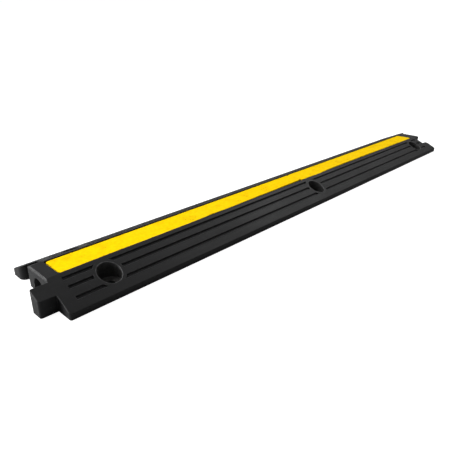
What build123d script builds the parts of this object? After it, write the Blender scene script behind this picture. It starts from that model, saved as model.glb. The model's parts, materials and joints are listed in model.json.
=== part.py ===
"""One-channel cable protector ramp, moulded in black rubber, with a yellow marking strip on its crown.

Frame: millimetres, +Z up, X along the ramp. The origin is on the ground, midway along and across the
ramp. Turned half a turn about Z, the ramp's connectors and anchor recesses land on themselves, so
any two ramps join end to end.
"""
import os
from math import hypot

from build123d import *

# ---- driving dimensions -----------------------------------------------------------------------

BODY_LENGTH = 982.0          # end face to end face: the pitch of joined ramps
BODY_WIDTH = 136.0
BODY_HEIGHT = 30.0           # ground to the crown's rims
LIP_HEIGHT = 8.0             # upright band along each long edge
CROWN_WIDTH = 39.0           # between the upper ends of the two slopes
SLOPE_BULGE = 0.6            # how far each slope swells above a straight line
CROWN_ROUND = 2.0
LIP_ROUND = 1.6
GROUND_ROUND = 0.8

CHANNEL_WIDTH = 20.5         # cable way, open to the ground, arched at the top
CHANNEL_HEIGHT = 21.5

TAB_LENGTH = 20.0            # male connector, standing out of the end face
TAB_INNER_SIDE = 24.0        # distance of the tab's sides from the centre line
TAB_OUTER_SIDE = 42.6
TAB_CORNER_ROUND = 2.5
TAB_EDGE_ROUND = 0.8         # along the tab's upper edges
CONNECTOR_CLEARANCE = 0.7    # the socket is this much larger than the tab on each side
SOCKET_MOUTH_ROUND = 8.0
SOCKET_FLOOR_ROUND = 2.0
END_CORNER_ROUND = 3.5       # upright corners of the body
NOSE_ROUND = 1.5             # rolls the crown over into the middle of each end face
NOSE_GROUND_ROUND = 3.0

TAB_SIDE_MARGIN = 16.0       # end face to the first tread groove, beside a tab
SOCKET_SIDE_MARGIN = 32.0    # the same beside a socket
GROOVE_CENTRES = (26.2, 38.4, 53.0)   # distance of the three tread grooves from the centre line
GROOVE_DEPTH = 2.2
GROOVE_UPPER_HALF = 1.7      # groove centre to its steep upper wall
GROOVE_LOWER_HALF = 3.4      # groove centre to the end of its gentle lower flank
GROOVE_WALL_DRAFT = 0.5      # how far the steep wall leans
GROOVE_FLOOR_HALF = 0.9      # groove centre to the foot of the lower flank
GROOVE_FLOOR_FALL = 0.3      # the floor falls this much on each side of the groove's centre

ANCHOR_SPACING = 425.6       # along the ramp
ANCHOR_OFFSET = 41.0         # from the centre line
ANCHOR_RECESS_DIAMETER = 28.0
ANCHOR_BORE_DIAMETER = 12.0
ANCHOR_FLOOR = 6.0           # rubber left under the bolt head
ANCHOR_RIM_ROUND = 1.0
ANCHOR_FLOOR_ROUND = 1.5
ANCHOR_LAND_DIAMETER = 37.4  # plain ring round each recess, where the grooves stop

STRIP_NEAR_MARGIN = 17.0     # end face to the strip's recess, at the -X end
STRIP_FAR_MARGIN = 32.0      # the same at the +X end
STRIP_RECESS_WIDTH = 36.0
STRIP_RECESS_DEPTH = 3.0
STRIP_RIM_ROUND = 0.5        # along the recess's upper edges
STRIP_WIDTH = 33.4
STRIP_THICKNESS = 2.2
STRIP_JOINT_GAP = 0.4        # the two strips butt here
STRIP_END_GAP = 0.3          # strip to the end of its recess
STRIP_CORNER_ROUND = 2.0

GRIP_GROOVE_OFFSETS = (17.0, 25.0, 55.0, 61.0)   # shallow grip grooves in the underside
GRIP_GROOVE_WIDTH = 2.4
GRIP_GROOVE_DEPTH = 1.0
GRIP_END_MARGIN = 30.0

# ---- values that follow from them -------------------------------------------------------------

HALF_LENGTH = BODY_LENGTH / 2
HALF_WIDTH = BODY_WIDTH / 2
HALF_CROWN = CROWN_WIDTH / 2
OVERALL_HALF = HALF_LENGTH + TAB_LENGTH
TAB_WIDTH = TAB_OUTER_SIDE - TAB_INNER_SIDE
TAB_CENTRE = (TAB_OUTER_SIDE + TAB_INNER_SIDE) / 2
SOCKET_DEPTH = TAB_LENGTH + CONNECTOR_CLEARANCE
SOCKET_WIDTH = TAB_WIDTH + 2 * CONNECTOR_CLEARANCE
STRIP_START = -HALF_LENGTH + STRIP_NEAR_MARGIN
STRIP_END = HALF_LENGTH - STRIP_FAR_MARGIN
STRIP_RECESS_LENGTH = STRIP_END - STRIP_START
STRIP_JOINT = (STRIP_START + STRIP_END) / 2
STRIP_FLOOR = BODY_HEIGHT - STRIP_RECESS_DEPTH
STRIP_LENGTH = (STRIP_RECESS_LENGTH - STRIP_JOINT_GAP) / 2 - STRIP_END_GAP
STRIP_SHIFT = (STRIP_LENGTH + STRIP_JOINT_GAP) / 2
ANCHOR_PLACES = [
    (along * ANCHOR_SPACING, side * ANCHOR_OFFSET) for along in (-1, 0, 1) for side in (-1, 1)
]
ABOVE = 10.0                 # how far cutters reach past the surface they cut
PAST = 1.0                   # the same for the cutters that round the nose


def slope_middle(side):
    """The point that the slope on this side swells through, in the cross section."""
    run = HALF_WIDTH - HALF_CROWN
    drop = BODY_HEIGHT - LIP_HEIGHT
    length = hypot(run, drop)
    across = (HALF_WIDTH + HALF_CROWN) / 2 + SLOPE_BULGE * drop / length
    up = (BODY_HEIGHT + LIP_HEIGHT) / 2 + SLOPE_BULGE * run / length
    return side * across, up


def slope_height(distance):
    """Height of the slope at this distance from the centre line."""
    along = (distance - HALF_CROWN) / (HALF_WIDTH - HALF_CROWN)
    chord = BODY_HEIGHT - (BODY_HEIGHT - LIP_HEIGHT) * along
    return chord + 4 * SLOPE_BULGE * along * (1 - along)


# ---- cutter: the tread grooves, interrupted round the anchor recesses ----------------------------

with BuildPart() as groove_cutter:
    for side in (-1, 1):
        # on the -Y side the tab is at the -X end; on the +Y side it is at the +X end
        margins = (TAB_SIDE_MARGIN, SOCKET_SIDE_MARGIN)[::-side]
        start = -HALF_LENGTH + margins[0]
        finish = HALF_LENGTH - margins[1]
        for centre in GROOVE_CENTRES:
            upper = centre - GROOVE_UPPER_HALF
            lower = centre + GROOVE_LOWER_HALF
            floor = slope_height(centre) - GROOVE_DEPTH
            with BuildSketch(Plane.YZ.offset(start)):
                with BuildLine():
                    Polyline(
                        (side * upper, slope_height(upper) + ABOVE),
                        (side * upper, slope_height(upper)),
                        (side * (upper + GROOVE_WALL_DRAFT), floor + GROOVE_FLOOR_FALL),
                        (side * (centre + GROOVE_FLOOR_HALF), floor - GROOVE_FLOOR_FALL),
                        (side * lower, slope_height(lower)),
                        (side * lower, slope_height(lower) + ABOVE),
                        close=True,
                    )
                make_face()
            extrude(amount=finish - start)
    with BuildSketch(Plane.XY):
        with Locations(*ANCHOR_PLACES):
            Circle(ANCHOR_LAND_DIAMETER / 2)
    extrude(amount=BODY_HEIGHT + 2 * ABOVE, mode=Mode.SUBTRACT)

# ---- the moulded rubber body ---------------------------------------------------------------------


def corners(outline, distance, along=HALF_LENGTH):
    """Corners of the plan outline at this distance from both centre lines."""
    return outline.vertices().filter_by(
        lambda v: abs(abs(v.X) - along) < 0.01 and abs(abs(v.Y) - distance) < 0.01
    )


def top_of(edge):
    """Height of the edge's highest point."""
    return edge.bounding_box().max.Z


def upper_edge_of_tab(edge):
    """True for the edges between a tab's sloping top and its upright walls."""
    middle = edge.bounding_box().center()
    outside_body = abs(middle.X) > HALF_LENGTH + PAST
    upright = abs(edge.tangent_at(0.5).Z) > 0.95
    return outside_body and not upright and middle.Z > LIP_HEIGHT


def edge_of_well(edge):
    """True for the rim and the floor edge of an anchor recess."""
    middle = edge.bounding_box().center()
    near = any(hypot(middle.X - x, middle.Y - y) < 2 * PAST for x, y in ANCHOR_PLACES)
    return near and edge.bounding_box().size.X > ANCHOR_BORE_DIAMETER + PAST


with BuildPart() as ramp_body:
    # cross section, as long as the ramp with both tabs
    with BuildSketch(Plane.YZ.offset(-OVERALL_HALF)) as section:
        with BuildLine():
            Polyline(
                (-HALF_WIDTH, LIP_HEIGHT),
                (-HALF_WIDTH, 0),
                (HALF_WIDTH, 0),
                (HALF_WIDTH, LIP_HEIGHT),
            )
            ThreePointArc((HALF_WIDTH, LIP_HEIGHT), slope_middle(1), (HALF_CROWN, BODY_HEIGHT))
            Line((HALF_CROWN, BODY_HEIGHT), (-HALF_CROWN, BODY_HEIGHT))
            ThreePointArc((-HALF_CROWN, BODY_HEIGHT), slope_middle(-1), (-HALF_WIDTH, LIP_HEIGHT))
        make_face()
        fillet(section.vertices().group_by(Axis.Y)[-1], CROWN_ROUND)
        fillet(section.vertices().filter_by(lambda v: abs(v.Y - LIP_HEIGHT) < 0.01), LIP_ROUND)
        fillet(section.vertices().group_by(Axis.Y)[0], GROUND_ROUND)
    extrude(amount=2 * OVERALL_HALF)

    # plan outline: a tab and a socket at each end
    with BuildSketch(Plane.XY) as outline:
        Rectangle(BODY_LENGTH, BODY_WIDTH)
        for end in (-1, 1):
            with Locations((end * HALF_LENGTH, end * TAB_CENTRE)):
                Rectangle(2 * TAB_LENGTH, TAB_WIDTH)
            with Locations((end * HALF_LENGTH, -end * TAB_CENTRE)):
                Rectangle(2 * SOCKET_DEPTH, SOCKET_WIDTH, mode=Mode.SUBTRACT)
        fillet(corners(outline, TAB_INNER_SIDE, OVERALL_HALF), TAB_CORNER_ROUND)
        fillet(corners(outline, TAB_OUTER_SIDE, OVERALL_HALF), TAB_CORNER_ROUND)
        fillet(corners(outline, HALF_WIDTH), END_CORNER_ROUND)
        fillet(corners(outline, TAB_CENTRE + SOCKET_WIDTH / 2), SOCKET_MOUTH_ROUND)
        fillet(corners(outline, TAB_CENTRE - SOCKET_WIDTH / 2), SOCKET_FLOOR_ROUND)
        for wall in (-1, 1):
            back_corners = corners(
                outline, TAB_CENTRE + wall * SOCKET_WIDTH / 2, HALF_LENGTH - SOCKET_DEPTH
            )
            fillet(back_corners, SOCKET_FLOOR_ROUND)
    extrude(amount=BODY_HEIGHT + ABOVE, mode=Mode.INTERSECT)

    # the crown rolls over into the middle of each end face, and that face lifts off the ground
    with BuildSketch(Plane.XZ):
        for end in (-1, 1):
            face_x = end * HALF_LENGTH
            outside_x = end * (HALF_LENGTH + PAST)
            crown_x = end * (HALF_LENGTH - NOSE_ROUND)
            round_z = BODY_HEIGHT - NOSE_ROUND
            with BuildLine():
                RadiusArc((face_x, round_z), (crown_x, BODY_HEIGHT), end * NOSE_ROUND)
                Polyline(
                    (crown_x, BODY_HEIGHT),
                    (crown_x, BODY_HEIGHT + PAST),
                    (outside_x, BODY_HEIGHT + PAST),
                    (outside_x, round_z),
                    (face_x, round_z),
                )
            make_face()
            ground_x = end * (HALF_LENGTH - NOSE_GROUND_ROUND)
            with BuildLine():
                RadiusArc((face_x, NOSE_GROUND_ROUND), (ground_x, 0), -end * NOSE_GROUND_ROUND)
                Polyline(
                    (ground_x, 0),
                    (ground_x, -PAST),
                    (outside_x, -PAST),
                    (outside_x, NOSE_GROUND_ROUND),
                    (face_x, NOSE_GROUND_ROUND),
                )
            make_face()
    extrude(amount=TAB_INNER_SIDE, both=True, mode=Mode.SUBTRACT)

    # cable channel
    with BuildSketch(Plane.YZ.offset(-OVERALL_HALF)):
        springing = CHANNEL_HEIGHT - CHANNEL_WIDTH / 2
        with Locations((0, springing)):
            Circle(CHANNEL_WIDTH / 2)
        with Locations((0, springing / 2)):
            Rectangle(CHANNEL_WIDTH, springing)
    extrude(amount=2 * OVERALL_HALF, mode=Mode.SUBTRACT)

    # recess for the marking strips
    with BuildSketch(Plane.XY.offset(STRIP_FLOOR)):
        with Locations((STRIP_JOINT, 0)):
            RectangleRounded(STRIP_RECESS_LENGTH, STRIP_RECESS_WIDTH, STRIP_CORNER_ROUND)
    extrude(amount=ABOVE, mode=Mode.SUBTRACT)
    recess_rim = ramp_body.edges().filter_by(
        lambda e: abs(e.center().Z - BODY_HEIGHT) < 0.01
        and abs(e.center().Y) < STRIP_RECESS_WIDTH / 2 + 0.01
        and STRIP_START - 0.01 < e.center().X < STRIP_END + 0.01
    )
    fillet(recess_rim, STRIP_RIM_ROUND)

    # the upper edges of the tabs
    fillet(ramp_body.edges().filter_by(upper_edge_of_tab), TAB_EDGE_ROUND)

    # anchor recesses and their bolt holes
    with BuildSketch(Plane.XY.offset(ANCHOR_FLOOR)):
        with Locations(*ANCHOR_PLACES):
            Circle(ANCHOR_RECESS_DIAMETER / 2)
    extrude(amount=BODY_HEIGHT, mode=Mode.SUBTRACT)
    well_edges = ramp_body.edges().filter_by(edge_of_well)
    fillet(well_edges.filter_by(lambda e: top_of(e) > ANCHOR_FLOOR + PAST), ANCHOR_RIM_ROUND)
    well_edges = ramp_body.edges().filter_by(edge_of_well)
    fillet(well_edges.filter_by(lambda e: top_of(e) < ANCHOR_FLOOR + PAST), ANCHOR_FLOOR_ROUND)
    with BuildSketch(Plane.XY):
        with Locations(*ANCHOR_PLACES):
            Circle(ANCHOR_BORE_DIAMETER / 2)
    extrude(amount=BODY_HEIGHT, mode=Mode.SUBTRACT)

    # tread grooves
    add(groove_cutter.part, mode=Mode.SUBTRACT)

    # grip grooves in the underside
    with BuildSketch(Plane.XY):
        for side in (-1, 1):
            for offset_y in GRIP_GROOVE_OFFSETS:
                with Locations((0, side * offset_y)):
                    SlotOverall(BODY_LENGTH - 2 * GRIP_END_MARGIN, GRIP_GROOVE_WIDTH)
    extrude(amount=GRIP_GROOVE_DEPTH, mode=Mode.SUBTRACT)


# ---- the yellow marking strips -------------------------------------------------------------------

with BuildPart() as marking_strip_left:
    with BuildSketch(Plane.XY.offset(STRIP_FLOOR)):
        with Locations((STRIP_JOINT - STRIP_SHIFT, 0)):
            RectangleRounded(STRIP_LENGTH, STRIP_WIDTH, STRIP_CORNER_ROUND)
    extrude(amount=STRIP_THICKNESS)

with BuildPart() as marking_strip_right:
    with BuildSketch(Plane.XY.offset(STRIP_FLOOR)):
        with Locations((STRIP_JOINT + STRIP_SHIFT, 0)):
            RectangleRounded(STRIP_LENGTH, STRIP_WIDTH, STRIP_CORNER_ROUND)
    extrude(amount=STRIP_THICKNESS)

# ---- labels and files ----------------------------------------------------------------------------

ramp_body.part.label = "ramp_body"
marking_strip_left.part.label = "marking_strip_left"
marking_strip_right.part.label = "marking_strip_right"

os.makedirs("parts", exist_ok=True)
for piece in (ramp_body, marking_strip_left, marking_strip_right):
    export_step(piece.part, f"parts/{piece.part.label}.step")
    box = piece.part.bounding_box()
    print(piece.part.label, [round(v, 1) for v in (*box.min, *box.max)], round(piece.part.volume))
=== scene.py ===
# %% [markdown]
# # A cable protector ramp
#
# The object is a metre of black moulded rubber with a yellow line along its crown. It lies over a
# cable so that wheels can cross it. Only three pieces make it up: the rubber body and the two halves
# of the line. The imported CAD model fixes every size, so this lesson starts by loading it and prints
# its box.

# %% load the frame
import json
from math import cos, pi, radians, sin, tau

import bmesh
import bpy
from mathutils import Matrix, Vector, noise

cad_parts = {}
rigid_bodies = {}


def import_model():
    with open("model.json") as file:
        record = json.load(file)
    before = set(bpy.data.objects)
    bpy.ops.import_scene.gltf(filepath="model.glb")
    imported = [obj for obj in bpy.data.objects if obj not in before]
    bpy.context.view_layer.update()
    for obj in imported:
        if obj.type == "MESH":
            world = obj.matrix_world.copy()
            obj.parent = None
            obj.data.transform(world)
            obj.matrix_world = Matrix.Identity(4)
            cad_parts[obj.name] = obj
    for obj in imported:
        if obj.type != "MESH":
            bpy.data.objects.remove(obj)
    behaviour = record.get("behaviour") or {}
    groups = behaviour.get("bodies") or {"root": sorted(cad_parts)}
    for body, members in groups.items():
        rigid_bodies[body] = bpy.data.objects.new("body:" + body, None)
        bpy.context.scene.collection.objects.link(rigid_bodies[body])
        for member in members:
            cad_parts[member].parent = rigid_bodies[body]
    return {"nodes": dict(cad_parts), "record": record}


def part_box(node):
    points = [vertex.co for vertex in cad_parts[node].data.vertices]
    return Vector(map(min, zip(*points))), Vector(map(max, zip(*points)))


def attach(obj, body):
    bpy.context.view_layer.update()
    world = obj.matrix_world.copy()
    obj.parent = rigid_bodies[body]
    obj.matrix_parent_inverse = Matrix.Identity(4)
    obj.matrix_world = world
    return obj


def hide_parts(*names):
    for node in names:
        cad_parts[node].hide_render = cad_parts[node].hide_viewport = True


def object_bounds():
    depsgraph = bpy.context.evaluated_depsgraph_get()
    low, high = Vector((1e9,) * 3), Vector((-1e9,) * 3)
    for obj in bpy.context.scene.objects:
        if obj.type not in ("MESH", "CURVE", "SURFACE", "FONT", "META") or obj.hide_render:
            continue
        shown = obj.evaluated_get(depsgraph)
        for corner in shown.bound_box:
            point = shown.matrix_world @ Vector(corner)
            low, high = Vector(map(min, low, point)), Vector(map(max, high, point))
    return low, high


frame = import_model()
cad_low, cad_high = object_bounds()
MM = 0.001
print("CAD box in mm:", [round(v / MM, 1) for v in (*cad_low, *cad_high)])

# %% [markdown]
# ## The camera
#
# A long, low object looks its length when the camera stands close to one end and looks along it. The
# camera could be aimed with a constraint, but a matrix built from three angles is easy to read and
# needs no helper object. Its place is given from the tip of the near tab, on the ground.

# %% camera
CAMERA_FROM_TIP = Vector((-149.9, -441.1, 282.4)) * MM
CAMERA_TURN = -46.98
CAMERA_TILT = 24.35
CAMERA_ROLL = 1.05
LENS = 35.83
CLIP_START = 0.01


def camera_matrix(place, turn, tilt, roll):
    """A camera on the side given by turn and tilt, looking back, and rolled; all in degrees."""
    a, e, r = radians(turn), radians(tilt), radians(roll)
    back = Vector((sin(a) * cos(e), -cos(a) * cos(e), sin(e)))
    right = Vector((cos(a), sin(a), 0))
    up = back.cross(right)
    right, up = cos(r) * right + sin(r) * up, cos(r) * up - sin(r) * right
    return Matrix.Translation(place) @ Matrix((right, up, back)).transposed().to_4x4()


camera = bpy.data.objects.new("camera", bpy.data.cameras.new("camera"))
bpy.context.scene.collection.objects.link(camera)
camera.data.lens = LENS
camera.data.clip_start = CLIP_START
near_tip = Vector((cad_low.x, 0, 0))
camera.matrix_world = camera_matrix(
    near_tip + CAMERA_FROM_TIP, CAMERA_TURN, CAMERA_TILT, CAMERA_ROLL
)
bpy.context.scene.camera = camera
print("camera at", [round(v, 3) for v in camera.matrix_world.translation])

# %% [markdown]
# ## Floor and light
#
# Black rubber is hard to light: on its own it shows little but what it reflects. A wide soft box
# behind and to the left gives the slopes and rims their grey. A small low one past the near end
# lights the end faces and leaves the front slope alone. A third, high beyond the far end, keeps the
# yellow even, and a dim dome with a darker front side keeps the walls that face us nearly black.
#
# The floor is a matte pale sheet that also glows, as a lit table does, so shadows stay faint on it.
# Only the camera sees the glow, or it would light the ramp's sides. It stops under the ramp too: the
# floor at the bottom of a bolt hole lies in the dark.
#
# Blender's nodes take three lines each to add, set and join, so four short helpers come first.

# %% node helpers
def nodes_of(material):
    """Empties a material or world, and returns its node tree."""
    material.use_nodes = True
    material.node_tree.nodes.clear()
    return material.node_tree


def node(tree, kind, **values):
    """Adds a node, sets its properties and its inputs by name, and returns it."""
    made = tree.nodes.new(kind)
    for name, value in values.items():
        if hasattr(made, name):
            setattr(made, name, value)
        else:
            made.inputs[name.replace("_", " ")].default_value = value
    return made


def link(tree, source, target):
    """Joins an output socket to an input socket."""
    tree.links.new(source, target)


def combine(tree, operation, first, second=0.0):
    """A sum, product or other operation on two sockets, or on a socket and a number."""
    made = node(tree, "ShaderNodeMath", operation=operation)
    for socket, value in zip(made.inputs, (first, second)):
        if isinstance(value, (int, float)):
            socket.default_value = value
        else:
            link(tree, value, socket)
    return made.outputs[0]


print("node helpers ready")

# %% floor paint
FLOOR_GLOW = 0.93
FLOOR_PAINT = 0.42
DARK_END_MARGIN = 40.0 * MM
DARK_SIDE_MARGIN = 10.0 * MM


def outside_the_ramp(tree):
    """0 on the floor well under the ramp, 1 elsewhere."""
    place = node(tree, "ShaderNodeTexCoord").outputs["Object"]
    axes = node(tree, "ShaderNodeSeparateXYZ")
    link(tree, place, axes.inputs[0])
    past_end = combine(tree, "ABSOLUTE", axes.outputs["X"])
    past_end = combine(tree, "SUBTRACT", past_end, cad_high.x - DARK_END_MARGIN)
    past_side = combine(tree, "ABSOLUTE", axes.outputs["Y"])
    past_side = combine(tree, "SUBTRACT", past_side, cad_high.y - DARK_SIDE_MARGIN)
    return combine(tree, "GREATER_THAN", combine(tree, "MAXIMUM", past_end, past_side), 0.0)


def make_floor_paint():
    """Matte pale paint; where the camera sees it, away from the ramp, it also glows."""
    material = bpy.data.materials.new("floor_paint")
    tree = nodes_of(material)
    matte = node(tree, "ShaderNodeBsdfDiffuse", Color=(FLOOR_PAINT, FLOOR_PAINT, FLOOR_PAINT, 1))
    glow = node(tree, "ShaderNodeEmission", Strength=FLOOR_GLOW)
    both = node(tree, "ShaderNodeAddShader")
    link(tree, matte.outputs[0], both.inputs[0])
    link(tree, glow.outputs[0], both.inputs[1])
    seen = node(tree, "ShaderNodeLightPath").outputs["Is Camera Ray"]
    glowing = combine(tree, "MULTIPLY", outside_the_ramp(tree), seen)
    chosen = node(tree, "ShaderNodeMixShader")
    link(tree, glowing, chosen.inputs[0])
    link(tree, matte.outputs[0], chosen.inputs[1])
    link(tree, both.outputs[0], chosen.inputs[2])
    output = node(tree, "ShaderNodeOutputMaterial")
    link(tree, chosen.outputs[0], output.inputs[0])
    return material


floor_paint = make_floor_paint()
print(floor_paint.name, len(floor_paint.node_tree.nodes), "nodes")

# %% floor sheet
FLOOR_REACH = 9.0
FLOOR_CURVE = 3.0
FLOOR_WALL = 5.0
FLOOR_SIDES = 96
FLAT_RINGS = (0.04, 0.2, 0.6, 1.0)     # shares of the flat part's reach
CURVE_STEPS = 12
FLOOR_DROP = 0.02 * MM                 # keeps the sheet clear of the ramp's underside


def sheet_profile():
    """Distance and height of the sheet from its middle outwards: flat, then curving up to a low wall."""
    points = [(FLOOR_REACH * share, 0.0) for share in FLAT_RINGS]
    for step in range(1, CURVE_STEPS + 1):
        turn = pi / 2 * step / CURVE_STEPS
        points.append((FLOOR_REACH + FLOOR_CURVE * sin(turn), FLOOR_CURVE * (1 - cos(turn))))
    points.append((FLOOR_REACH + FLOOR_CURVE, FLOOR_WALL))
    return points


def build_sheet():
    """A round studio floor whose rim rises all the way round."""
    mesh = bmesh.new()
    middle = mesh.verts.new((0, 0, 0))
    turns = [tau * k / FLOOR_SIDES for k in range(FLOOR_SIDES)]
    inner = None
    for distance, height in sheet_profile():
        outer = [mesh.verts.new((distance * cos(t), distance * sin(t), height)) for t in turns]
        for k in range(FLOOR_SIDES):
            after = (k + 1) % FLOOR_SIDES
            if inner is None:
                mesh.faces.new((middle, outer[k], outer[after]))
            else:
                mesh.faces.new((inner[k], outer[k], outer[after], inner[after]))
        inner = outer
    for face in mesh.faces:
        face.smooth = True
    data = bpy.data.meshes.new("floor")
    mesh.to_mesh(data)
    mesh.free()
    return data


floor = bpy.data.objects.new("floor", build_sheet())
floor.location.z = -FLOOR_DROP
floor.data.materials.append(floor_paint)
bpy.context.scene.collection.objects.link(floor)
print("floor:", len(floor.data.polygons), "faces, wall", FLOOR_WALL, "m high")

# %% lights
LIGHTS = (                             # name, place, size, power
    ("key_light", (-1.5, 1.3, 1.5), 1.6, 62.0),
    ("far_light", (1.5, 0.2, 1.6), 1.4, 11.0),
    ("end_light", (-2.0, 1.0, 0.38), 0.7, 42.0),
)


def soft_box(name, place, size, power):
    """A square area light at this place, aimed at the middle of the ramp."""
    data = bpy.data.lights.new(name, "AREA")
    data.size = size
    data.energy = power
    light = bpy.data.objects.new(name, data)
    bpy.context.scene.collection.objects.link(light)
    light.location = place
    light.rotation_euler = Vector(place).to_track_quat("Z", "Y").to_euler()
    return light


for name, place, size, power in LIGHTS:
    soft_box(name, place, size, power)
print(len(LIGHTS), "soft boxes")

# %% dome
DOME_FRONT = 0.14
DOME_BACK = 0.55
dome = bpy.data.worlds.new("dome")
bpy.context.scene.world = dome
tree = nodes_of(dome)
around = node(tree, "ShaderNodeTexCoord")
axes = node(tree, "ShaderNodeSeparateXYZ")
shade = node(
    tree, "ShaderNodeMapRange", From_Min=-1.0, From_Max=1.0, To_Min=DOME_FRONT, To_Max=DOME_BACK
)
air = node(tree, "ShaderNodeBackground", Color=(1.0, 1.0, 1.0, 1))
output = node(tree, "ShaderNodeOutputWorld")
link(tree, around.outputs["Generated"], axes.inputs[0])
link(tree, axes.outputs["Y"], shade.inputs["Value"])
link(tree, shade.outputs[0], air.inputs["Strength"])
link(tree, air.outputs[0], output.inputs[0])
bpy.context.scene.view_settings.view_transform = "Standard"
print("dome from", DOME_FRONT, "to", DOME_BACK)

# %% [markdown]
# ## The black rubber
#
# Recycled moulded rubber is never one flat black. It has a fine grain from the mould's blasted steel,
# broad cloudy patches where the mix cooled unevenly, faint flow lines along the length, pale crumbs
# of filler, and edges painted a lighter grey, partly as wear from handling and partly as a painted
# highlight. A picture could hold all that, but noise of several sizes needs no unwrapping and stays
# sharp at any distance. The lighter edges come from a bevel node, which tells where the surface turns
# within a millimetre or so.
#
# The anchor wells are painted paler inside, partly as settled dust and partly as painted light that
# lifts their dim walls and floors, and their rims get a thin lighter ring, partly wear from boots and
# wheels and partly a painted highlight. Both depend on how far a point is from the nearest well's
# axis, which a few math nodes work out from the grid of the bolts. Both stop just below the wells'
# floors, so the underside stays clean.

# %% texture helpers
BEVEL_SAMPLES = 4


def texture(tree, place, kind, scale, stretch=(1, 1, 1), **values):
    """A noise-like texture of the surface's own coordinates, stretched along the axes."""
    mapping = node(tree, "ShaderNodeMapping", Scale=stretch)
    link(tree, place, mapping.inputs["Vector"])
    made = node(tree, kind, Scale=scale, **values)
    link(tree, mapping.outputs[0], made.inputs["Vector"])
    return made


def spread(tree, value, low, high, to_low=0.0, to_high=1.0):
    """Stretches the values between low and high over a new range, clamped."""
    made = node(
        tree, "ShaderNodeMapRange", From_Min=low, From_Max=high, To_Min=to_low, To_Max=to_high
    )
    link(tree, value, made.inputs["Value"])
    return made.outputs[0]


def blend(tree, factor, first, second):
    """Mixes two colours, or a socket and a colour, by a factor socket."""
    made = node(tree, "ShaderNodeMix", data_type="RGBA")
    link(tree, factor, made.inputs[0])
    for socket, colour in ((made.inputs[6], first), (made.inputs[7], second)):
        if isinstance(colour, tuple):
            socket.default_value = colour
        else:
            link(tree, colour, socket)
    return made.outputs[2]


def turned_edges(tree, radius, low, high):
    """1 where the surface turns within this radius, 0 where it is flat.

    Low and high are cosines of the angle between the rounded normal and the true one.
    """
    rounded = node(tree, "ShaderNodeBevel", samples=BEVEL_SAMPLES, Radius=radius)
    surface = node(tree, "ShaderNodeNewGeometry")
    agreement = node(tree, "ShaderNodeVectorMath", operation="DOT_PRODUCT")
    link(tree, rounded.outputs[0], agreement.inputs[0])
    link(tree, surface.outputs["Normal"], agreement.inputs[1])
    return spread(tree, agreement.outputs["Value"], low, high, to_low=1.0, to_high=0.0)


def bump(tree, height, strength, distance, below=None):
    """A bump node on top of another one."""
    made = node(tree, "ShaderNodeBump", Strength=strength, Distance=distance)
    link(tree, height, made.inputs["Height"])
    if below is not None:
        link(tree, below, made.inputs["Normal"])
    return made.outputs[0]


print("texture helpers ready")

# %% where the wells are
WELL_RADIUS = 14.0 * MM
WELL_FADE = 0.2 * MM
RIM_RADIUS = 14.7 * MM
RIM_FULL_WITHIN = 0.2 * MM                    # painted lighter ring (wear and painted highlight) at full strength within this distance of the rim
RIM_FADED = 0.6 * MM                   # and not at all beyond this one
end_bolts = next(m for m in frame["record"]["mounts"] if m["name"] == "anchor_holes_ends")
WELL_FLOOR = end_bolts["pos_m"][2]
WELL_ALONG = end_bolts["dims"]["spacing_x_mm"] / 2 * MM
WELL_ACROSS = end_bolts["dims"]["spacing_y_mm"] / 2 * MM


def distance_from_wells(tree, place):
    """Distance from the axis of the nearest anchor well; they stand on a grid of three by two."""
    axes = node(tree, "ShaderNodeSeparateXYZ")
    link(tree, place, axes.inputs[0])
    along = combine(tree, "ABSOLUTE", axes.outputs["X"])
    from_end = combine(tree, "ABSOLUTE", combine(tree, "SUBTRACT", along, WELL_ALONG))
    along = combine(tree, "MINIMUM", along, from_end)
    across = combine(tree, "ABSOLUTE", axes.outputs["Y"])
    across = combine(tree, "SUBTRACT", across, WELL_ACROSS)
    along_squared = combine(tree, "MULTIPLY", along, along)
    across_squared = combine(tree, "MULTIPLY", across, across)
    return combine(tree, "SQRT", combine(tree, "ADD", along_squared, across_squared))


def well_masks(tree, place):
    """Two masks, 0 below the wells' floors: one inside the wells, and a thin ring on their rims."""
    axes = node(tree, "ShaderNodeSeparateXYZ")
    link(tree, place, axes.inputs[0])
    high_enough = spread(tree, axes.outputs["Z"], low=0.7 * WELL_FLOOR, high=0.9 * WELL_FLOOR)
    distance = distance_from_wells(tree, place)
    inside = spread(
        tree, distance, low=0.97 * WELL_RADIUS, high=WELL_RADIUS + WELL_FADE, to_low=1.0, to_high=0.0
    )
    from_rim = combine(tree, "ABSOLUTE", combine(tree, "SUBTRACT", distance, RIM_RADIUS))
    # the rim ring is painted lighter: partly wear, partly a painted highlight
    rim = spread(tree, from_rim, low=RIM_FULL_WITHIN, high=RIM_FADED, to_low=1.0, to_high=0.0)
    return combine(tree, "MULTIPLY", inside, high_enough), combine(tree, "MULTIPLY", high_enough, rim)


print("wells in mm: 0 and", round(WELL_ALONG / MM, 1), "along,", round(WELL_ACROSS / MM, 1), "across")

# %% rubber material
RUBBER_DEEP = (0.0045, 0.0046, 0.0050, 1)
RUBBER_CLOUDY = (0.0115, 0.0117, 0.0122, 1)
# edges and well rims painted lighter grey: partly wear, partly a painted highlight
RUBBER_WEAR_AND_HIGHLIGHT = (0.095, 0.095, 0.097, 1)
RUBBER_CRUMB = (0.10, 0.10, 0.10, 1)
# wells painted paler: partly dust, partly painted light on their dim walls and floors
RUBBER_DUST_AND_LIGHT = (0.085, 0.083, 0.080, 1)
RUBBER_GLOSS = 0.24
CLOUD_SHARE = 0.45
MOTTLE_SHARE = 0.40
FLOW_SHARE = 0.20
WEAR_AND_HIGHLIGHT_WITHIN = 1.1 * MM
MOTTLE_RELIEF = 0.35 * MM
FLOW_RELIEF = 0.25 * MM
GRAIN_RELIEF = 0.10 * MM


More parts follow.
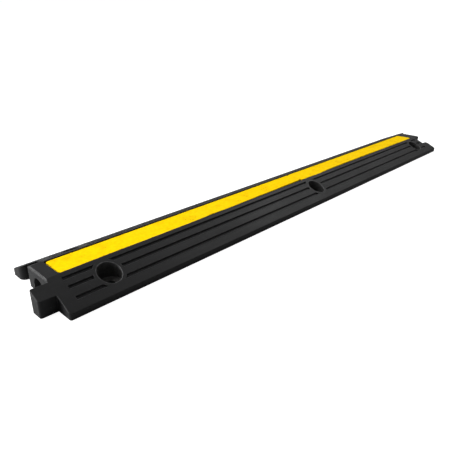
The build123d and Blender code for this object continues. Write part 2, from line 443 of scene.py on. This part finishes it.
def rubber_noises(tree, place):
    """The noises of the rubber: for each, its node, repeats in a metre, stretch and settings."""
    kinds = {
        "clouds": ("ShaderNodeTexNoise", 14.0, (0.6, 1, 1), {"Detail": 4.0}),
        "mottle": ("ShaderNodeTexNoise", 190.0, (1, 1, 1), {"Detail": 5.0, "Roughness": 0.65}),
        "grain": ("ShaderNodeTexNoise", 1500.0, (1, 1, 1), {"Detail": 3.0, "Roughness": 0.6}),
        "flow": ("ShaderNodeTexNoise", 260.0, (0.04, 1, 1), {"Detail": 3.0}),
        "crumbs": ("ShaderNodeTexVoronoi", 420.0, (1, 1, 1), {"Randomness": 1.0}),
        "crumby": ("ShaderNodeTexNoise", 95.0, (1, 1, 1), {"Detail": 2.0}),
    }
    noises = {}
    for name, (kind, scale, stretch, values) in kinds.items():
        made = texture(tree, place, kind, scale, stretch, **values)
        noises[name] = made.outputs["Distance" if name == "crumbs" else "Fac"]
    return noises


def make_rubber():
    """Black moulded rubber: grain, clouds, flow lines, crumbs, wells painted paler (dust and painted
    light) and edges painted lighter (wear and painted highlight).
    """
    material = bpy.data.materials.new("black_rubber")
    tree = nodes_of(material)
    place = node(tree, "ShaderNodeTexCoord").outputs["Object"]
    noises = rubber_noises(tree, place)

    cloudy = combine(tree, "MULTIPLY", spread(tree, noises["clouds"], low=0.35, high=0.68), CLOUD_SHARE)
    mottled = combine(tree, "MULTIPLY", spread(tree, noises["mottle"], low=0.35, high=0.70), MOTTLE_SHARE)
    flowing = combine(tree, "MULTIPLY", spread(tree, noises["flow"], low=0.40, high=0.66), FLOW_SHARE)
    uneven = combine(tree, "ADD", combine(tree, "ADD", cloudy, mottled), flowing)
    colour = blend(tree, uneven, RUBBER_DEEP, RUBBER_CLOUDY)

    # wells painted paler (dust and painted light); a rim ring painted lighter (wear and painted
    # highlight)
    in_well, rim_wear_and_highlight = well_masks(tree, place)
    patchy = spread(tree, noises["mottle"], low=0.35, high=0.65, to_low=0.35, to_high=0.95)
    # inside the wells the colour is painted paler: partly dust, partly painted light
    colour = blend(tree, combine(tree, "MULTIPLY", in_well, patchy), colour, RUBBER_DUST_AND_LIGHT)

    # edges and rims painted lighter grey: partly wear, partly a painted highlight
    edge = combine(tree, "MAXIMUM", turned_edges(tree, WEAR_AND_HIGHLIGHT_WITHIN, low=0.80, high=0.985), rim_wear_and_highlight)
    patchy = spread(tree, noises["mottle"], low=0.40, high=0.60, to_low=0.25, to_high=0.95)
    colour = blend(tree, combine(tree, "MULTIPLY", edge, patchy), colour, RUBBER_WEAR_AND_HIGHLIGHT)

    small = spread(tree, noises["crumbs"], low=0.05, high=0.16, to_low=1.0, to_high=0.0)
    rare = spread(tree, noises["crumby"], low=0.62, high=0.70)
    colour = blend(tree, combine(tree, "MULTIPLY", small, rare), colour, RUBBER_CRUMB)

    roughness = spread(tree, uneven, low=0.1, high=0.9, to_low=0.44, to_high=0.60)
    normal = bump(tree, noises["mottle"], strength=0.22, distance=MOTTLE_RELIEF)
    normal = bump(tree, noises["flow"], strength=0.10, distance=FLOW_RELIEF, below=normal)
    normal = bump(tree, noises["grain"], strength=0.30, distance=GRAIN_RELIEF, below=normal)

    shader = node(tree, "ShaderNodeBsdfPrincipled", IOR=1.5)
    shader.inputs["Specular IOR Level"].default_value = RUBBER_GLOSS
    output = node(tree, "ShaderNodeOutputMaterial")
    link(tree, colour, shader.inputs["Base Color"])
    link(tree, roughness, shader.inputs["Roughness"])
    link(tree, normal, shader.inputs["Normal"])
    link(tree, shader.outputs[0], output.inputs[0])
    return material


black_rubber = make_rubber()
print(black_rubber.name, len(black_rubber.node_tree.nodes), "nodes")

# %% [markdown]
# ## The rubber body
#
# The body is one heavy moulding. Its section, sockets, grooves and wells all have to fit other ramps,
# bolts and cables, so the shape comes from the CAD solid and isn't modelled twice. What the solid
# lacks is the softness of rubber. So it is copied, its points are welded, and the thin triangles of
# its flat faces are merged back into whole ones, which leaves clean edges to work on.

# %% copy of the moulding
WELD = 1e-6
FLAT_ANGLE = radians(0.25)


def welded_copy(name):
    """The CAD node's mesh in a new bmesh, welded, with flat faces merged."""
    mesh = bmesh.new()
    mesh.from_mesh(frame["nodes"][name].data)
    bmesh.ops.remove_doubles(mesh, verts=mesh.verts, dist=WELD)
    bmesh.ops.dissolve_limit(
        mesh, angle_limit=FLAT_ANGLE, verts=mesh.verts, edges=mesh.edges, delimit=set()
    )
    return mesh


body = welded_copy("ramp_body")
print("merged copy:", len(body.verts), "points,", len(body.faces), "faces")

# %% [markdown]
# ## Rounded ends
#
# Rubber never leaves a mould with a sharp edge, and the edges round the two ends catch a thin line of
# light. A bevel modifier would round everything, tread grooves and all. Picking the edges by place and
# by angle, and bevelling only those in the mesh, keeps the grooves crisp.

# %% rounded outer edges
END_EDGE_ROUND = 0.8 * MM
END_EDGE_STEPS = 3
END_ZONE = 42.0 * MM                   # only edges this near to a tab's tip are rounded,
LIP_TOP = 8.2 * MM                     # and of those, only the ones higher than this
ROUND_PROFILE = 0.5                    # a quarter circle
SHARP = radians(38)


def outer_edges(mesh, wanted):
    """Convex edges sharper than SHARP, whose middle point passes the test."""
    found = []
    for edge in mesh.edges:
        if edge.is_manifold and edge.is_convex and edge.calc_face_angle() > SHARP:
            if wanted((edge.verts[0].co + edge.verts[1].co) / 2):
                found.append(edge)
    return found


def round_edges(mesh, edges, radius, steps):
    """Rounds these edges."""
    bmesh.ops.bevel(
        mesh, geom=edges, offset=radius, offset_type="OFFSET", segments=steps,
        profile=ROUND_PROFILE, affect="EDGES", clamp_overlap=False,
    )
    print(len(edges), "edges rounded to", round(radius / MM, 2), "mm ->", len(mesh.faces), "faces")


body_low, body_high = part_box("ramp_body")
end_edges = outer_edges(body, lambda p: abs(p.x) > body_high.x - END_ZONE and p.z > LIP_TOP)
round_edges(body, end_edges, END_EDGE_ROUND, END_EDGE_STEPS)

# %% [markdown]
# ## A relaxed surface
#
# The long edges of a rubber moulding are never ruler-straight: it sinks and draws in a little as it
# cools. A flat face has points only at its corners, so the body is first sliced across into short
# lengths. Then a smooth noise moves each point by a few tenths of a millimetre, always inwards.
# Sculpting could do the same by hand, but not twice alike.

# %% slices and relaxed surface
SLICE = 9.0 * MM
SLICE_SLACK = 1e-7
RELAX_TOP = 0.28 * MM
RELAX_SIDE = 0.35 * MM
RELAX_GROUND = 0.20 * MM
TOP_WAVE = 0.11                        # lengths over which the noise changes, in metres
SIDE_WAVE = 0.16
GROUND_WAVE = 0.13
TOP_SEED = 3.1
SIDE_SEED = 7.7
GROUND_SEED = 11.3


def slice_across(mesh, step):
    """Cuts the mesh across at every step along the ramp."""
    place = body_low.x + step
    while place < body_high.x:
        bmesh.ops.bisect_plane(
            mesh, geom=[*mesh.verts, *mesh.edges, *mesh.faces], dist=SLICE_SLACK,
            plane_co=(place, 0, 0), plane_no=(1, 0, 0),
        )
        place += step


def wander(x, y, seed, length):
    """A smooth value from 0 to 1 that changes over about this length."""
    return 0.5 + 0.5 * noise.noise(Vector((x / length, y / length, seed)))


def relax(mesh):
    """Lets the moulding sink and draw in by a few tenths of a millimetre, never outwards."""
    for vertex in mesh.verts:
        x, y, z = vertex.co
        height = z / body_high.z
        side = abs(y) / body_high.y
        sink = RELAX_TOP * wander(x, y, TOP_SEED, TOP_WAVE) * height
        draw = RELAX_SIDE * wander(x, 0, SIDE_SEED + (y > 0), SIDE_WAVE) * side ** 4
        lift = RELAX_GROUND * wander(x, y, GROUND_SEED, GROUND_WAVE) * (1 - height) ** 6 * side ** 2
        vertex.co.z += lift - sink
        vertex.co.y -= draw if y > 0 else -draw


slice_across(body, SLICE)
relax(body)
print("sliced body:", len(body.verts), "points,", len(body.faces), "faces")

# %% the body as an object
SMOOTH_BELOW = radians(32)


def finish_piece(mesh, name, material):
    """Makes the bmesh into a smooth-shaded object whose sharp edges stay sharp."""
    for face in mesh.faces:
        face.smooth = True
    for edge in mesh.edges:
        edge.smooth = edge.is_manifold and edge.calc_face_angle() < SMOOTH_BELOW
    data = bpy.data.meshes.new(name)
    mesh.to_mesh(data)
    mesh.free()
    data.materials.append(material)
    piece = bpy.data.objects.new(name, data)
    bpy.context.scene.collection.objects.link(piece)
    weighted = piece.modifiers.new("even_shading", "WEIGHTED_NORMAL")
    weighted.keep_sharp = True
    return piece


rubber_body = finish_piece(body, "rubber_body", black_rubber)
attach(rubber_body, "root")
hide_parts("ramp_body")
print("rubber_body:", len(rubber_body.data.polygons), "faces")

# %% [markdown]
# ## The yellow finish
#
# The line warns people of the step, so its yellow is strong, and the compound is nearly matt. Close up
# it is mottled, a little stained, pitted with dark specks, and grimy along its edges. The same kinds
# of noise as on the rubber make it, mixed in the order in which the real thing got them: the colour
# of the mix first, then the stains, then the specks and the grime on top.

# %% strip material
YELLOW = (0.96, 0.635, 0.0020, 1)
YELLOW_DEEP = (0.80, 0.46, 0.002, 1)
YELLOW_PALE = (0.97, 0.66, 0.006, 1)
GRIME = (0.10, 0.06, 0.01, 1)
YELLOW_GLOSS = 0.01
PALE_SHARE = 0.55
DEEP_SHARE = 0.50
STAIN_SHARE = 0.45
SPECK_SHARE = 0.7
GRIMY_WITHIN = 0.7 * MM
YELLOW_MOTTLE_RELIEF = 0.30 * MM
YELLOW_GRAIN_RELIEF = 0.08 * MM


def make_yellow():
    """Soft yellow compound: mottled, finely grained, with pits and grimy edges."""
    material = bpy.data.materials.new("yellow_strip")
    tree = nodes_of(material)
    place = node(tree, "ShaderNodeTexCoord").outputs["Object"]
    clouds = texture(tree, place, "ShaderNodeTexNoise", 22.0, (0.5, 1, 1), Detail=4.0)
    mottle = texture(tree, place, "ShaderNodeTexNoise", 230.0, Detail=5.0, Roughness=0.6)
    grain = texture(tree, place, "ShaderNodeTexNoise", 1700.0, Detail=3.0)
    pits = texture(tree, place, "ShaderNodeTexVoronoi", 330.0, Randomness=1.0)
    dirt = texture(tree, place, "ShaderNodeTexNoise", 60.0, Detail=3.0)
    mottle, dirt = mottle.outputs["Fac"], dirt.outputs["Fac"]

    pale = combine(tree, "MULTIPLY", spread(tree, clouds.outputs["Fac"], low=0.42, high=0.70), PALE_SHARE)
    colour = blend(tree, pale, YELLOW, YELLOW_PALE)
    deep = combine(tree, "MULTIPLY", spread(tree, mottle, low=0.40, high=0.68), DEEP_SHARE)
    colour = blend(tree, deep, colour, YELLOW_DEEP)
    stained = combine(tree, "MULTIPLY", spread(tree, dirt, low=0.50, high=0.68), STAIN_SHARE)
    colour = blend(tree, stained, colour, YELLOW_DEEP)

    small = spread(tree, pits.outputs["Distance"], low=0.12, high=0.30, to_low=1.0, to_high=0.0)
    speck = combine(tree, "MULTIPLY", small, spread(tree, dirt, low=0.58, high=0.66))
    speck = combine(tree, "MULTIPLY", speck, SPECK_SHARE)
    edge = turned_edges(tree, GRIMY_WITHIN, low=0.72, high=0.97)
    uneven = spread(tree, mottle, low=0.42, high=0.62, to_low=0.10, to_high=0.70)
    grimy = combine(tree, "MULTIPLY", edge, uneven)
    colour = blend(tree, combine(tree, "MAXIMUM", speck, grimy), colour, GRIME)

    roughness = spread(tree, mottle, low=0.3, high=0.7, to_low=0.48, to_high=0.66)
    normal = bump(tree, mottle, strength=0.25, distance=YELLOW_MOTTLE_RELIEF)
    grain = grain.outputs["Fac"]
    normal = bump(tree, grain, strength=0.25, distance=YELLOW_GRAIN_RELIEF, below=normal)
    shader = node(tree, "ShaderNodeBsdfPrincipled", IOR=1.45)
    shader.inputs["Specular IOR Level"].default_value = YELLOW_GLOSS
    output = node(tree, "ShaderNodeOutputMaterial")
    link(tree, colour, shader.inputs["Base Color"])
    link(tree, roughness, shader.inputs["Roughness"])
    link(tree, normal, shader.inputs["Normal"])
    link(tree, shader.outputs[0], output.inputs[0])
    return material


yellow_strip = make_yellow()
print(yellow_strip.name, len(yellow_strip.node_tree.nodes), "nodes")

# %% [markdown]
# ## The yellow line
#
# The line lies in the recess of the crown in two lengths that butt at mid-length. Its rear edge follows
# the recess, but its front edge was trimmed by hand and wanders by up to four millimetres, and the
# two lengths don't quite meet in line. Paint on the body would show no edge and no step, so each length
# is its own slab, built as a ring of points that is swept along the ramp: the ring has rounded upper
# edges, and its front side moves in and out with the trim. A smooth noise adds the waver of the knife,
# and where a second one peaks it bites a small nick.

# %% trimmed front edges
# along the strip from its -X end, and width trimmed off there, in mm
TRIM_LEFT = [(0, 0.4), (40, 0.9), (80, 1.0), (140, 0.0), (180, 0.0), (210, 0.9), (240, 2.1), (280, 1.4),
             (320, 2.3), (360, 2.6), (400, 3.5), (430, 4.1), (466, 4.1)]
TRIM_RIGHT = [(0, 1.7), (20, 1.7), (55, 1.0), (95, 3.2), (125, 3.5), (230, 3.4), (275, 3.1), (310, 2.4),
              (370, 2.3), (430, 1.8), (466, 1.6)]


def trim_at(trim, along):
    """Width trimmed off the front edge at this distance along the strip, eased between the points."""
    for (start, first), (finish, second) in zip(trim, trim[1:]):
        if along <= finish:
            share = max(0.0, (along - start) / (finish - start))
            eased = share * share * (3 - 2 * share)
            return first + (second - first) * eased
    return trim[-1][1]


print("left trim at mid-length:", trim_at(TRIM_LEFT, TRIM_LEFT[-1][0]), "mm")

# %% section and length of a strip
STRIP_STEP = 2.0 * MM
ACROSS = 14
BELOW = 4
EDGE_ROUND = 0.6 * MM
EDGE_STEPS = 4
CORNER_ROUND = 4.0 * MM
CORNER_STEPS = 6


def ring(front, rear, floor, top):
    """Section of the strip: flat below, rounded along both upper edges. Points go once round."""
    arcs = []
    for side, edge in ((1, front), (-1, rear)):
        arc = []
        for step in range(EDGE_STEPS + 1):
            turn = pi / 2 * step / EDGE_STEPS
            inward = EDGE_ROUND * (1 - cos(turn))
            arc.append((edge + side * inward, top - EDGE_ROUND * (1 - sin(turn))))
        arcs.append(arc)
    flat = []
    for step in range(1, ACROSS):
        share = step / ACROSS
        flat.append((front + EDGE_ROUND + (rear - front - 2 * EDGE_ROUND) * share, top))
    below = [(rear + (front - rear) * step / BELOW, floor) for step in range(BELOW + 1)]
    return [*arcs[0], *flat, *reversed(arcs[1]), *below]


def corner_inset(distance):
    """How far a side draws in near the strip's end, for rounded corners in plan."""
    if distance >= CORNER_ROUND:
        return 0.0
    return CORNER_ROUND - (CORNER_ROUND ** 2 - (CORNER_ROUND - distance) ** 2) ** 0.5


def stations(length):
    """Distances along the strip where a ring stands, closer together in the rounded corners."""
    corner = [CORNER_ROUND * (1 - cos(pi / 2 * k / CORNER_STEPS)) for k in range(CORNER_STEPS)]
    count = round((length - 2 * CORNER_ROUND) / STRIP_STEP)
    middle = [CORNER_ROUND + (length - 2 * CORNER_ROUND) * k / count for k in range(count + 1)]
    return [*corner, *middle, *[length - c for c in reversed(corner)]]


print("points in a ring:", len(ring(0, 1, 0, 1)))

# %% the two strips
FRONT_ROOM = 1.1 * MM
REAR_ROOM = 0.6 * MM
END_ROOM = 0.9 * MM
WAVER = 0.35 * MM
WAVER_WAVE = 0.012
NICK_DEPTH = 2.2 * MM
NICK_WAVE = 0.007
NICK_LEVEL = 0.25
NICK_SEED = 4.5
REAR_WAVER = 0.3 * MM
REAR_WAVE = 0.05
REAR_SEED = 5
RIPPLE = 0.25 * MM
RIPPLE_WAVE = 0.03
ABOVE_FLOOR = 1e-6


def build_strip(cad_name, trim, seed):
    """A slab in the place of the CAD strip, with a hand-trimmed front edge and a slightly wavy top."""
    low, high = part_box(cad_name)
    if low.x < -high.x:
        low.x += END_ROOM
    else:
        high.x -= END_ROOM
    mesh = bmesh.new()
    rings = []
    for along in stations(high.x - low.x):
        inset = corner_inset(min(along, high.x - low.x - along))
        cut = trim_at(trim, along / MM) * MM
        cut += WAVER * noise.noise(Vector((along / WAVER_WAVE, seed, 0)))
        bite = noise.noise(Vector((along / NICK_WAVE, seed, NICK_SEED))) - NICK_LEVEL
        cut += NICK_DEPTH * max(0.0, bite)
        front = max(low.y - FRONT_ROOM, low.y - FRONT_ROOM + cut) + inset
        rear = high.y + REAR_ROOM - REAR_WAVER * wander(along, 0, seed + REAR_SEED, REAR_WAVE) - inset
        section = []
        for y, z in ring(front, rear, low.z, high.z):
            lowered = RIPPLE * wander(along, y, seed, RIPPLE_WAVE) if z > low.z + ABOVE_FLOOR else 0
            section.append(mesh.verts.new((low.x + along, y, z - lowered)))
        rings.append(section)
    for first, second in zip(rings, rings[1:]):
        for k in range(len(first)):
            after = (k + 1) % len(first)
            mesh.faces.new((first[k], first[after], second[after], second[k]))
    mesh.faces.new(rings[0])
    mesh.faces.new(list(reversed(rings[-1])))
    bmesh.ops.recalc_face_normals(mesh, faces=mesh.faces)
    print(cad_name, "->", len(mesh.verts), "points")
    return mesh


for side, trim, seed in (("left", TRIM_LEFT, 2.0), ("right", TRIM_RIGHT, 9.0)):
    cad_name = "marking_strip_" + side
    piece = finish_piece(build_strip(cad_name, trim, seed), "yellow_line_" + side, yellow_strip)
    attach(piece, "root")
    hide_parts(cad_name)

# %% [markdown]
# ## The end
#
# The looks must not change the size of the object. The last step brings the scene up to date.

bpy.context.view_layer.update()
